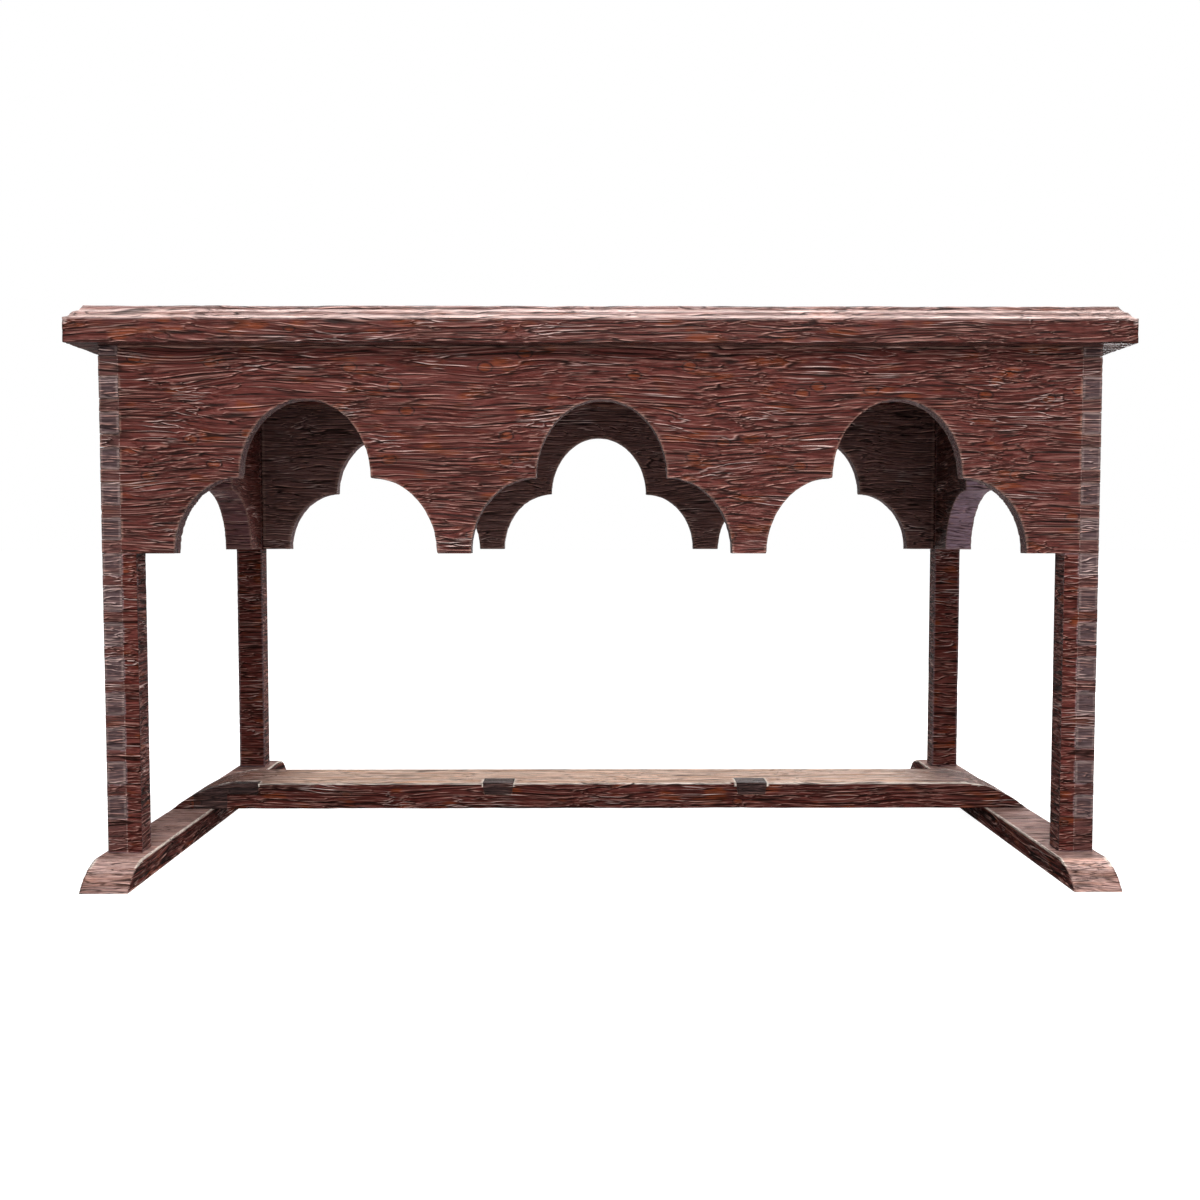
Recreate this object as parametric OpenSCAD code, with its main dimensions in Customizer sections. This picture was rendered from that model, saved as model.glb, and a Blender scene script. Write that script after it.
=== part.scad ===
// Communion table: moulded boarded top on four legs, trefoil-arched aprons on all
// four sides, two sled runners with curved toes and one stretcher across them.
// Millimetres, +Z up, +X along the table, -Y is the front. The origin is on the
// floor under the middle of the table.

/* [Overall] */
// Length of the top
top_length = 1524; // [1240:1:2200]
// Depth of the top, front to back
top_depth = 762; // [660:1:1000]
// Height of the top surface above the floor
table_height = 828; // [640:1:1020]

/* [Table top] */
// Height of the plain face round the edge of the top
top_face = 35; // [20:0.5:60]
// Number of moulded steps above the face
mould_steps = 2; // [1:1:3]
// Rise of each moulded step
step_rise = 10; // [6:0.5:14]
// Run of each moulded step towards the middle of the top
step_run = 10; // [7:0.5:16]
// Run of the steep riser within each step
riser_run = 2.5; // [1:0.5:4]
// Height of the steep riser within each step
riser_rise = 6; // [3:0.5:8]
// Number of boards across the top
board_count = 5; // [3:2:7]
// Overhang of the top past the end of the underframe
end_overhang = 37; // [15:1:90]
// Overhang of the top past the front and the back of the underframe
side_overhang = 31; // [15:1:90]

/* [Loose tongues between the top boards] */
// Thickness of each tongue
tongue_thickness = 10; // [6:1:14]
// Width of each tongue
tongue_width = 24; // [16:1:40]
// Distance from the end of the top to the end of the tongue
tongue_stop = 60; // [40:1:120]

/* [Legs] */
// Width of each leg, along the table
leg_width = 50; // [47:1:70]
// Depth of each leg, front to back
leg_depth = 36; // [30:1:60]
// Width of the tenon at the foot of the leg
foot_tenon_width = 26; // [16:1:36]
// Depth of the tenon at the foot of the leg
foot_tenon_depth = 16; // [10:1:22]
// Distance from the end of the foot tenon to the floor
foot_tenon_recess = 1; // [0.5:0.5:4]
// Thickness of the foot wedge at its driven end
wedge_thickness = 4; // [2:0.5:6]
// Length of the foot wedge
wedge_length = 24; // [14:1:26]

/* [Aprons] */
// Height of all four aprons
apron_height = 299; // [260:1:380]
// Thickness of the front and rear aprons
apron_thickness = 28; // [20:1:34]
// Thickness of the apron where it laps over the leg
lap_thickness = 18; // [12:1:22]
// Width of one long side arch at its foot
arch_width = 381; // [240:1:440]
// Width of the crown lobe of a long side arch
crown_width = 190; // [120:1:260]
// Width of the pillar between two arches
pillar_width = 49; // [30:1:120]
// Least distance from the end of the apron to an arch
arch_land = 100; // [70:1:160]
// Width of the end arch at its foot
end_arch_width = 486; // [300:1:500]
// Width of the crown lobe of the end arch
end_crown_width = 245; // [140:1:300]
// Height of the side lobes, from the bottom of the apron to the cusps
side_lobe_rise = 110; // [70:1:130]
// Height of the crown lobe above the cusps
crown_rise = 113; // [70:1:125]

/* [End apron tenons] */
// Thickness of the tenon
end_tenon_thickness = 12; // [8:1:14]
// Thickness of the leg left between the end of the tenon and the long apron
end_tenon_wall = 5; // [3:1:8]
// Distance from the top and bottom of the apron to the tenon
end_tenon_shoulder = 30; // [15:1:60]
// Distance from the inner face of the leg to the tenon
end_tenon_inset = 6; // [4:1:8]

/* [Dovetail corner keys] */
// Height of a key at the outer face
key_height = 31; // [20:1:36]
// How far each key reaches in from the end of the table
key_length = 28; // [20:1:31]
// How far each key is let into the leg behind the apron's lap
key_bite = 6; // [3:1:9]
// Extra height of the key at its inner end, above and below
key_flare = 1.2; // [0:0.1:3]
// Distance from the underside of the top to the first whole key
key_first = 44; // [35:1:60]
// Height of the part key under the top
part_key_height = 14; // [8:1:20]
// Number of whole keys beside the apron
keys_beside_apron = 5; // [4:1:6]
// Least distance from the last key to the foot of the leg
key_last = 12; // [5:1:60]

/* [Runners] */
// Height of each runner
runner_height = 34; // [28:1:60]
// Distance that the runner stands out past the outer face of the leg
runner_outset = 6; // [0:1:20]
// Distance that the runner stands out past the inner face of the leg
runner_inset = 12; // [0:1:30]
// Distance that the runner reaches past the front and back of the legs
runner_reach = 90; // [70:1:150]
// Length of the curved toe at each end of the runner
toe_length = 65; // [40:1:70]

/* [Stretcher] */
// Width of the stretcher, front to back
stretcher_width = 122; // [96:1:180]
// Thickness of the stretcher
stretcher_height = 44; // [36:1:60]
// Length of the curved toe at each end of the stretcher
stretcher_toe = 121; // [60:1:160]
// Distance from the middle of the table to the left dovetail key
left_key_offset = 175; // [80:1:400]
// Distance from the middle of the table to the right dovetail key
right_key_offset = 259; // [80:1:400]
// Width of a stretcher key at the top
stretcher_key_width = 52; // [30:1:80]
// How much narrower the stretcher key is at the bottom
stretcher_key_taper = 5; // [0:0.5:12]
// Height of a stretcher key
stretcher_key_height = 20; // [10:1:30]
// How deep each stretcher key is let in from the front
stretcher_key_depth = 40; // [20:1:60]
// Distance from the end of the stretcher to the let-in patches
patch_from_end = 36; // [30:1:80]
// Length of the lower patch
lower_patch_length = 57; // [30:1:100]
// Length of the upper patch
upper_patch_length = 110; // [60:1:160]
// Height of the line where the two patches meet, above the runner
patch_split = 25; // [15:1:30]
// How deep the patches are let in from the front
patch_depth = 20; // [15:1:22]

/* [Dowels between stretcher and runners] */
// Diameter of each dowel
dowel_diameter = 14; // [8:1:16]
// Length of the dowel within the stretcher
dowel_in_stretcher = 18; // [10:1:20]
// Length of the dowel within the runner
dowel_in_runner = 22; // [12:1:26]
// Distance between the two dowels of one runner
dowel_spacing = 50; // [40:1:80]
// Distance from the inner edge of the runner to the dowels
dowel_inset = 18; // [12:1:30]

/* [Screws] */
// Shank diameter of the screws between stretcher and runners
big_screw_shank = 7; // [5:0.5:10]
// Head diameter of the screws between stretcher and runners
big_screw_head = 14; // [10:0.5:18]
// Depth of the stretcher screw's head above the floor
big_screw_recess = 5; // [2:0.5:10]
// Length of the stretcher screw within the stretcher
big_screw_bite = 17; // [10:1:20]
// Shank diameter of the cleat screws
small_screw_shank = 4.5; // [3:0.5:6]
// Head diameter of the cleat screws
small_screw_head = 9; // [6:0.5:12]
// Length of a cleat screw past the cleat, into the top
top_screw_bite = 22; // [12:1:28]
// Length of a cleat screw past the cleat, into the apron
apron_screw_bite = 16; // [10:1:18]
// Number of screws from one cleat into the top
screws_per_cleat = 5; // [3:1:9]

/* [Cleats under the top] */
// Height of each cleat
cleat_height = 18; // [16:1:40]
// Thickness of each cleat
cleat_thickness = 22; // [16:1:40]

/* [Fits] */
// Gap for glue round tenons, tongues, keys and dowels
glue_gap = 0.1; // [0.05:0.05:0.4]
// Gap round a screw in its hole
screw_gap = 0.1; // [0.05:0.05:0.4]

/* [Hidden] */

// Straight pieces in one rounded quarter of an outline
quarter_steps = 16;
// Straight pieces in a toe's curve
toe_steps = 12;
// Extra length of a cutter past the face that it cuts
past = 2;
// Share of a foot wedge's thickness that is left at its point
wedge_point = 1 / 4;
// Width and depth of the slot in a screw, as a share of its head
slot_share = 1 / 8;
// Diameter of a screw at its tip
screw_tip = 1;
$fn = 48;

// Heights
underside = table_height - top_face - mould_steps * step_rise;
apron_bottom = underside - apron_height;
leg_length = underside - runner_height;
top_thickness = table_height - underside;

// Underframe and what stands under it
frame_length = top_length - 2 * end_overhang;
frame_depth = top_depth - 2 * side_overhang;
runner_length = frame_depth + 2 * runner_reach;
runner_width = leg_width + runner_outset + runner_inset;
stretcher_length = frame_length + 2 * runner_outset;
runner_inner_edge = stretcher_length / 2 - runner_width;

// Boards of the top
board_width = top_depth / board_count;
middle_board = floor(board_count / 2);

// Arches along a long side: as many as fit between the lands
arch_pitch = arch_width + pillar_width;
arch_count = floor((frame_length - 2 * arch_land + pillar_width) / arch_pitch);

// Corner joints: how deep the keys go in from the front or back, and how far the end
// apron's tenon goes into the leg
key_depth = lap_thickness + key_bite;
end_tenon_length = leg_depth - lap_thickness - end_tenon_wall;

// Corner keys, from the top of the leg down
key_pitch = (apron_height - key_first) / keys_beside_apron;
key_count = 1 + floor((leg_length - key_last - key_height - key_first) / key_pitch);

// Cleats
cleat_length = frame_length - 2 * leg_width;
cleat_screw_pitch = cleat_length / screws_per_cleat;

// Colours
top_colour = [0.42, 0.17, 0.13];
frame_colour = [0.38, 0.15, 0.12];
end_grain_colour = [0.36, 0.24, 0.22];
dark_colour = [0.14, 0.09, 0.08];
inner_colour = [0.62, 0.44, 0.29];
steel_colour = [0.55, 0.55, 0.57];

// Points of part of an ellipse, from one angle to another
function ellipse_points(centre, half_width, half_height, from, to, steps) =
    [for (i = [0:steps]) let (a = from + (to - from) * i / steps)
        [centre[0] + half_width * cos(a), centre[1] + half_height * sin(a)]];

// Trefoil opening: two quarter-round side lobes, cusps, and a crown lobe above them.
// The foot is at height 0 and the outline runs on below it, so that it cuts through.
function trefoil(width, crown) =
    let (half = width / 2, cusp = crown / 2, lobe = half - cusp)
    concat(
        [[half, -past]],
        ellipse_points([cusp, 0], lobe, side_lobe_rise, 0, 90, quarter_steps),
        ellipse_points([0, side_lobe_rise], cusp, crown_rise,
                       90 / quarter_steps, 180 - 90 / quarter_steps, 2 * quarter_steps - 2),
        ellipse_points([-cusp, 0], lobe, side_lobe_rise, 90, 180, quarter_steps),
        [[-half, -past]]);

// Radius of the arc that drops from the top of a beam to its bottom over the length of a toe
function toe_radius(height, toe) = (height * height + toe * toe) / (2 * height);

// Side outline of a beam whose two ends curve down to the bottom face
function sled_outline(length, height, toe) =
    let (radius = toe_radius(height, toe), sweep = asin(toe / radius),
         start = length / 2 - toe,
         curve = [for (i = [0:toe_steps]) let (a = sweep * i / toe_steps)
                  [start + radius * sin(a), height - radius * (1 - cos(a))]])
    concat(curve, [for (i = [toe_steps:-1:0]) [-curve[i][0], curve[i][1]]]);

// Edge outline of the top: the plain face, then the moulded steps, across a span
function moulded_outline(span) =
    let (half = span / 2,
         side = concat([[half, 0], [half, top_face]],
                       [for (i = [0:mould_steps - 1]) each [
                           [half - step_run * (i + 1) + riser_run,
                            top_face + step_rise * (i + 1) - riser_rise],
                           [half - step_run * (i + 1), top_face + step_rise * (i + 1)]]]))
    concat(side, [for (i = [len(side) - 1:-1:0]) [-side[i][0], side[i][1]]]);

// An outline in X and Z, drawn out along Y from 0
module along_y(depth) translate([0, depth, 0]) rotate([90, 0, 0]) linear_extrude(depth) children();

// An outline in Y and Z, drawn out along X from 0
module along_x(length) rotate([90, 0, 90]) linear_extrude(length) children();

// Puts a corner piece, drawn with its outer corner at the origin, at one of the corners.
// right and rear are 0 or 1.
module at_corner(right, rear)
    mirror([right, 0, 0]) mirror([0, rear, 0])
        translate([-frame_length / 2, -frame_depth / 2, 0]) children();

// Puts a piece drawn for the front, or for the left, on the other side as well
module at_rear() mirror([0, 1, 0]) children();
module at_right() mirror([1, 0, 0]) children();

// Countersunk wood screw pointing up, with the face of its head at height 0
module wood_screw(shank, head, length, gap = 0) {
    cone = (head - shank) / 2;
    point = shank;
    cylinder(h = cone, d1 = head + 2 * gap, d2 = shank + 2 * gap);
    translate([0, 0, cone]) cylinder(h = length - cone - point, d = shank + 2 * gap);
    translate([0, 0, length - point]) cylinder(h = point + gap, d1 = shank + 2 * gap, d2 = screw_tip);
}

// The screw itself, with the slot in its head
module slotted_screw(shank, head, length)
    difference() {
        wood_screw(shank, head, length);
        translate([-head, -head * slot_share / 2, -past])
            cube([2 * head, head * slot_share, past + head * slot_share]);
    }

// ---- Table top ----

module moulded_top()
    translate([0, 0, underside]) intersection() {
        translate([-top_length / 2, 0, 0]) along_x(top_length) polygon(moulded_outline(top_depth));
        translate([0, -top_depth / 2, 0]) along_y(top_depth) polygon(moulded_outline(top_length));
    }

// One loose tongue, centred on the joint between two boards
module tongue(gap = 0) {
    length = top_length - 2 * tongue_stop;
    translate([-length / 2 - gap, -tongue_width / 2 - gap,
               underside + (top_face - tongue_thickness) / 2 - gap])
        cube([length + 2 * gap, tongue_width + 2 * gap, tongue_thickness + 2 * gap]);
}

// Board number index of the top, counted from the front
module top_board(index)
    difference() {
        intersection() {
            moulded_top();
            translate([-top_length / 2 - past, -top_depth / 2 + index * board_width, underside - past])
                cube([top_length + 2 * past, board_width, top_thickness + 2 * past]);
        }
        for (joint = [index, index + 1])
            if (joint > 0 && joint < board_count)
                translate([0, -top_depth / 2 + joint * board_width, 0]) tongue(glue_gap);
        if (index == 0) top_screw_row(screw_gap);
        if (index == board_count - 1) at_rear() top_screw_row(screw_gap);
    }

// The boards between the front and the rear board keep to three names: the middle
// board, and the boards on either side of it
module top_board_front() color(top_colour) top_board(0);
module top_board_front_mid() color(top_colour)
    for (i = [1:middle_board - 1]) top_board(i);
module top_board_middle() color(top_colour) top_board(middle_board);
module top_board_rear_mid() color(top_colour)
    for (i = [middle_board + 1:board_count - 2]) top_board(i);
module top_board_rear() color(top_colour) top_board(board_count - 1);

module top_tongues() color(inner_colour)
    for (joint = [1:board_count - 1])
        translate([0, -top_depth / 2 + joint * board_width, 0]) tongue();

// ---- Corner keys ----

// Heights of the whole keys' middles, down from the underside of the top
key_middles = [for (i = [0:key_count - 1]) key_first + key_height / 2 + i * key_pitch];

// One dovetail key with its outer corner at the origin, middle at height 0
module corner_key(height, gap = 0)
    along_y(key_depth + gap)
        polygon([[-gap, -height / 2 - gap], [key_length + gap, -height / 2 - key_flare - gap],
                 [key_length + gap, height / 2 + key_flare + gap], [-gap, height / 2 + gap]]);

// The part key right under the top, flared on its lower side only
module part_key(gap = 0)
    along_y(key_depth + gap)
        polygon([[-gap, 0], [key_length + gap, 0],
                 [key_length + gap, -part_key_height - key_flare - gap],
                 [-gap, -part_key_height - gap]]);

module key_row(gap = 0)
    translate([0, 0, underside]) {
        part_key(gap);
        for (middle = key_middles) translate([0, 0, -middle]) corner_key(key_height, gap);
    }

module front_left_keys() color(end_grain_colour) at_corner(0, 0) key_row();
module front_right_keys() color(end_grain_colour) at_corner(1, 0) key_row();
module rear_left_keys() color(end_grain_colour) at_corner(0, 1) key_row();
module rear_right_keys() color(end_grain_colour) at_corner(1, 1) key_row();

// ---- Legs ----

// Tenon of the end apron, in the corner's own position
module end_tenon(gap = 0)
    translate([leg_width - end_tenon_inset - end_tenon_thickness - gap,
               leg_depth - end_tenon_length - gap,
               apron_bottom + end_tenon_shoulder - gap])
        cube([end_tenon_thickness + 2 * gap, end_tenon_length + gap + (gap > 0 ? past : 0),
              apron_height - 2 * end_tenon_shoulder + 2 * gap]);

// Tenon at the foot of the leg, down into the runner
module foot_tenon(gap = 0)
    translate([(leg_width - foot_tenon_width) / 2 - gap, (leg_depth - foot_tenon_depth) / 2 - gap,
               gap > 0 ? -past : foot_tenon_recess])
        cube([foot_tenon_width + 2 * gap, foot_tenon_depth + 2 * gap,
              runner_height + (gap > 0 ? 2 * past : -foot_tenon_recess)]);

// Wedge driven up into the foot tenon
module foot_wedge()
    translate([leg_width / 2, (leg_depth - foot_tenon_depth) / 2, foot_tenon_recess])
        along_y(foot_tenon_depth)
            let (half = wedge_thickness / 2, point = half * wedge_point)
                polygon([[-half, 0], [half, 0], [point, wedge_length], [-point, wedge_length]]);

module leg()
    difference() {
        union() {
            translate([0, 0, runner_height]) cube([leg_width, leg_depth, leg_length]);
            foot_tenon();
        }
        translate([-past, -past, apron_bottom])
            cube([leg_width + 2 * past, lap_thickness + past, apron_height + past]);
        key_row(glue_gap);
        end_tenon(glue_gap);
        foot_wedge();
    }

module front_left_leg() color(frame_colour) at_corner(0, 0) leg();
module front_right_leg() color(frame_colour) at_corner(1, 0) leg();
module rear_left_leg() color(frame_colour) at_corner(0, 1) leg();
module rear_right_leg() color(frame_colour) at_corner(1, 1) leg();

module leg_wedges() color(inner_colour)
    for (right = [0, 1], rear = [0, 1]) at_corner(right, rear) foot_wedge();

// ---- Aprons ----

// Long apron, drawn at the front: laps over the legs and is combed for the keys
module long_apron()
    difference() {
        translate([0, -frame_depth / 2, apron_bottom]) {
            translate([-frame_length / 2 + leg_width, 0, 0])
                cube([frame_length - 2 * leg_width, apron_thickness, apron_height]);
            translate([-frame_length / 2, 0, 0]) cube([frame_length, lap_thickness, apron_height]);
        }
        for (i = [0:arch_count - 1])
            translate([(i - (arch_count - 1) / 2) * arch_pitch, -frame_depth / 2 - past, apron_bottom])
                along_y(apron_thickness + 2 * past) polygon(trefoil(arch_width, crown_width));
        for (right = [0, 1]) at_corner(right, 0) key_row(glue_gap);
        apron_screw_row(screw_gap);
    }

module front_apron() color(frame_colour) long_apron();
module rear_apron() color(frame_colour) at_rear() long_apron();

// End apron, drawn at the left: tenoned into both legs, flush with their faces
module end_apron() {
    difference() {
        translate([-frame_length / 2, -frame_depth / 2 + leg_depth, apron_bottom])
            cube([leg_width, frame_depth - 2 * leg_depth, apron_height]);
        translate([-frame_length / 2 - past, 0, apron_bottom])
            along_x(leg_width + 2 * past) polygon(trefoil(end_arch_width, end_crown_width));
    }
    for (rear = [0, 1]) at_corner(0, rear) end_tenon();
}

module left_end_apron() color(frame_colour) end_apron();
module right_end_apron() color(frame_colour) at_right() end_apron();

// ---- Cleats ----

// Middles of the screws along a cleat: into the top, and between them into the apron
top_screw_places = [for (i = [0:screws_per_cleat - 1]) (i - (screws_per_cleat - 1) / 2) * cleat_screw_pitch];
apron_screw_places = [for (i = [1:screws_per_cleat - 1]) (i - screws_per_cleat / 2) * cleat_screw_pitch];
cleat_inner_face = -frame_depth / 2 + apron_thickness + cleat_thickness;
cleat_middle = -frame_depth / 2 + apron_thickness + cleat_thickness / 2;

module at_top_screws()
    for (x = top_screw_places) translate([x, cleat_middle, underside - cleat_height]) children();

module at_apron_screws()
    for (x = apron_screw_places)
        translate([x, cleat_inner_face, underside - cleat_height / 2]) rotate([90, 0, 0]) children();

module top_screw_row(gap)
    at_top_screws() wood_screw(small_screw_shank, small_screw_head, cleat_height + top_screw_bite, gap);

module apron_screw_row(gap)
    at_apron_screws()
        wood_screw(small_screw_shank, small_screw_head, cleat_thickness + apron_screw_bite, gap);

module cleat()
    difference() {
        translate([-cleat_length / 2, cleat_inner_face - cleat_thickness, underside - cleat_height])
            cube([cleat_length, cleat_thickness, cleat_height]);
        top_screw_row(screw_gap);
        apron_screw_row(screw_gap);
    }

module front_cleat() color(frame_colour) cleat();
module rear_cleat() color(frame_colour) at_rear() cleat();

module cleat_top_screws()
    at_top_screws() slotted_screw(small_screw_shank, small_screw_head, cleat_height + top_screw_bite);

module cleat_apron_screws()
    at_apron_screws()
        slotted_screw(small_screw_shank, small_screw_head, cleat_thickness + apron_screw_bite);

module top_screws() color(steel_colour) { cleat_top_screws(); at_rear() cleat_top_screws(); }
module apron_screws() color(steel_colour) { cleat_apron_screws(); at_rear() cleat_apron_screws(); }

// ---- Runners ----

// Dowel and screw places on the left runner
fixing_x = -runner_inner_edge - dowel_inset;

module stretcher_dowel_pair(gap = 0)
    for (side = [-1, 1])
        translate([fixing_x, side * dowel_spacing / 2, runner_height - dowel_in_runner - gap])
            cylinder(h = dowel_in_runner + dowel_in_stretcher + 2 * gap, d = dowel_diameter + 2 * gap);

big_screw_length = runner_height - big_screw_recess + big_screw_bite;

module runner()
    difference() {
        translate([-frame_length / 2 - runner_outset, 0, 0]) along_x(runner_width)
            polygon(sled_outline(runner_length, runner_height, toe_length));
        for (rear = [0, 1]) at_corner(0, rear) foot_tenon(glue_gap);
        stretcher_dowel_pair(glue_gap);
        translate([fixing_x, 0, big_screw_recess])
            wood_screw(big_screw_shank, big_screw_head, big_screw_length, screw_gap);
        translate([fixing_x, 0, -past])
            cylinder(h = big_screw_recess + past, d = big_screw_head + 2 * screw_gap);
    }

module left_runner() color(frame_colour) runner();
module right_runner() color(frame_colour) at_right() runner();

// ---- Stretcher ----

module stretcher_blank(depth)
    translate([0, -stretcher_width / 2, runner_height]) along_y(depth)
        polygon(sled_outline(stretcher_length, stretcher_height, stretcher_toe));

// Dovetail key let into the front of the stretcher, with its top face uppermost
module stretcher_key(x, gap = 0)
    translate([x, -stretcher_width / 2, runner_height + stretcher_height])
        along_y(stretcher_key_depth + gap)
            polygon([[-stretcher_key_width / 2 - gap, 0],
                     [-(stretcher_key_width - stretcher_key_taper) / 2 - gap, -stretcher_key_height - gap],
                     [(stretcher_key_width - stretcher_key_taper) / 2 + gap, -stretcher_key_height - gap],
                     [stretcher_key_width / 2 + gap, 0]]);

module stretcher_key_pair(gap = 0) {
    stretcher_key(-left_key_offset, gap);
    stretcher_key(right_key_offset, gap);
}

// Room for the two patches let into the left end of the stretcher's front
module lower_patch_room(gap = 0)
    translate([-stretcher_length / 2 + patch_from_end - gap, -stretcher_width / 2, runner_height])
        cube([lower_patch_length + 2 * gap, patch_depth + gap, patch_split]);

module upper_patch_room(gap = 0)
    translate([-stretcher_length / 2 + patch_from_end - gap, -stretcher_width / 2,
               runner_height + patch_split + (gap > 0 ? 0 : glue_gap)])
        cube([upper_patch_length + 2 * gap, patch_depth + gap, stretcher_height - patch_split + gap]);

module stretcher() color(frame_colour)
    difference() {
        stretcher_blank(stretcher_width);
        stretcher_key_pair(glue_gap);
        lower_patch_room(glue_gap);
        upper_patch_room(glue_gap);
        stretcher_fixing_holes();
        at_right() stretcher_fixing_holes();
    }

module stretcher_fixing_holes() {
    stretcher_dowel_pair(glue_gap);
    translate([fixing_x, 0, big_screw_recess])
        wood_screw(big_screw_shank, big_screw_head, big_screw_length, screw_gap);
}

module stretcher_keys() color(dark_colour) stretcher_key_pair();

module stretcher_patches() color(dark_colour)
    difference() {
        union() {
            intersection() { stretcher_blank(patch_depth); lower_patch_room(); }
            intersection() { stretcher_blank(patch_depth); upper_patch_room(); }
        }
        stretcher_dowel_pair(glue_gap);
    }

module stretcher_dowels() color(inner_colour) {
    stretcher_dowel_pair();
    at_right() stretcher_dowel_pair();
}

module left_stretcher_screw()
    translate([fixing_x, 0, big_screw_recess])
        slotted_screw(big_screw_shank, big_screw_head, big_screw_length);

module stretcher_screws() color(steel_colour) {
    left_stretcher_screw();
    at_right() left_stretcher_screw();
}

top_board_front();
top_board_front_mid();
top_board_middle();
top_board_rear_mid();
top_board_rear();
top_tongues();
front_apron();
rear_apron();
left_end_apron();
right_end_apron();
front_left_leg();
front_right_leg();
rear_left_leg();
rear_right_leg();
front_left_keys();
front_right_keys();
rear_left_keys();
rear_right_keys();
front_cleat();
rear_cleat();
left_runner();
right_runner();
stretcher();
stretcher_keys();
stretcher_patches();
stretcher_dowels();
stretcher_screws();
leg_wedges();
top_screws();
apron_screws();
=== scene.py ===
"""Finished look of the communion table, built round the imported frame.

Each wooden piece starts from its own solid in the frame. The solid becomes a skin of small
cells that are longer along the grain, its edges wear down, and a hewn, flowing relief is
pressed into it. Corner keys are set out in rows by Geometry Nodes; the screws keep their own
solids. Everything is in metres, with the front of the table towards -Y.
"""

import logging
import math
from dataclasses import dataclass, replace
from enum import Enum
from typing import Any

import bmesh
import bpy
import numpy as np
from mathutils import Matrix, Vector
from mathutils.bvhtree import BVHTree


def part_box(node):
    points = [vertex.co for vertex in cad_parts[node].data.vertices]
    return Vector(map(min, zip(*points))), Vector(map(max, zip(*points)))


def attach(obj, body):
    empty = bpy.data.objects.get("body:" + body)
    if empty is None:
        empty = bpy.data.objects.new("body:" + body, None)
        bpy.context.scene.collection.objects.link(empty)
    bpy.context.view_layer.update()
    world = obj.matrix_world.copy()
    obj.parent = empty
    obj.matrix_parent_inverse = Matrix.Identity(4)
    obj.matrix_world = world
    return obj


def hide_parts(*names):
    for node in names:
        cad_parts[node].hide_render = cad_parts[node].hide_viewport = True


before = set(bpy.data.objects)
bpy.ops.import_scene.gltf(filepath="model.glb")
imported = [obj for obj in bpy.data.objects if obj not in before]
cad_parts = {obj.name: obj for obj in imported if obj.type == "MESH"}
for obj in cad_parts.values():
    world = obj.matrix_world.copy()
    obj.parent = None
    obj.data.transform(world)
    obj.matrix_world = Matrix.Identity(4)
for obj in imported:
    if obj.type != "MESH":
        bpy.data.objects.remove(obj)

Colour = tuple[float, float, float]
Point = tuple[float, float, float]
Pair = tuple[float, float]
log = logging.getLogger("communion_table")


class Axis(Enum):
    """Direction in which the grain of a piece runs."""

    X = 0
    Y = 1
    Z = 2

    def stretch(self, along: float, across: float) -> Point:
        """Return a vector with one value along the grain and another across it."""
        return tuple(along if i == self.value else across for i in range(3))


def placed(name: str, data: Any) -> bpy.types.Object:
    """Return a new object that stands in the scene."""
    made = bpy.data.objects.new(name, data)
    bpy.context.scene.collection.objects.link(made)
    return made


class Graph:
    """Adds and joins nodes in one node tree, in few words."""

    def __init__(self, tree: bpy.types.NodeTree) -> None:
        """Keep the tree, emptied."""
        self.tree = tree
        self.tree.nodes.clear()

    def node(self, kind: str, inputs: dict | None = None, **settings: Any) -> bpy.types.Node:
        """Add one node.

        Args:
            kind: Blender's name of the node's type.
            inputs: value or source socket of each input, by the input's name or place. Colours
                are given without their alpha.
            settings: the node's own properties.

        Returns:
            The node.
        """
        made = self.tree.nodes.new(kind)
        for name, value in settings.items():
            setattr(made, name, value)
        for key, value in (inputs or {}).items():
            socket = made.inputs[key]
            if isinstance(value, bpy.types.NodeSocket):
                self.tree.links.new(value, socket)
            else:
                socket.default_value = (*value, 1.0) if socket.type == "RGBA" else value
        return made

    def maths(self, operation: str, *values: Any) -> bpy.types.NodeSocket:
        """Return the result of a sum on numbers."""
        return self.node("ShaderNodeMath", dict(enumerate(values)), operation=operation).outputs[0]

    def vectors(self, operation: str, *values: Any) -> bpy.types.NodeSocket:
        """Return the result of a sum on vectors."""
        made = self.node("ShaderNodeVectorMath", dict(enumerate(values)), operation=operation)
        return made.outputs[0]

    def times(self, *values: Any) -> bpy.types.NodeSocket:
        """Return the product of two numbers."""
        return self.maths("MULTIPLY", *values)

    def parts(self, vector: Any) -> Any:
        """Return the three numbers of a vector."""
        return self.node("ShaderNodeSeparateXYZ", {0: vector}).outputs

    def blend(self, amount: Any, first: Any, second: Any) -> bpy.types.NodeSocket:
        """Return one colour laid over another by an amount from 0 to 1."""
        made = self.node("ShaderNodeMix", {0: amount, 6: first, 7: second}, data_type="RGBA")
        return made.outputs[2]

    def fade(self, value: Any, low: float, high: float, start: float = 0.0,
             end: float = 1.0) -> bpy.types.NodeSocket:
        """Return a value that eases from start to end while the input goes from low to high."""
        made = self.node("ShaderNodeMapRange", {0: value, 1: low, 2: high, 3: start, 4: end},
                         interpolation_type="SMOOTHSTEP")
        return made.outputs[0]

    def noise(self, place: Any, detail: float = 2.0, roughness: float = 0.5, scale: float = 1.0,
              output: str = "Fac") -> bpy.types.NodeSocket:
        """Return a noise at a place that is already stretched, as a level or as a colour."""
        made = self.node("ShaderNodeTexNoise", {"Vector": place, "Scale": scale, "Detail": detail,
                                                "Roughness": roughness})
        return made.outputs[output]

    def attribute(self, name: str) -> bpy.types.NodeSocket:
        """Return the number that each vertex of a piece carries under a name."""
        return self.node("ShaderNodeAttribute", attribute_name=name).outputs["Fac"]


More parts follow.
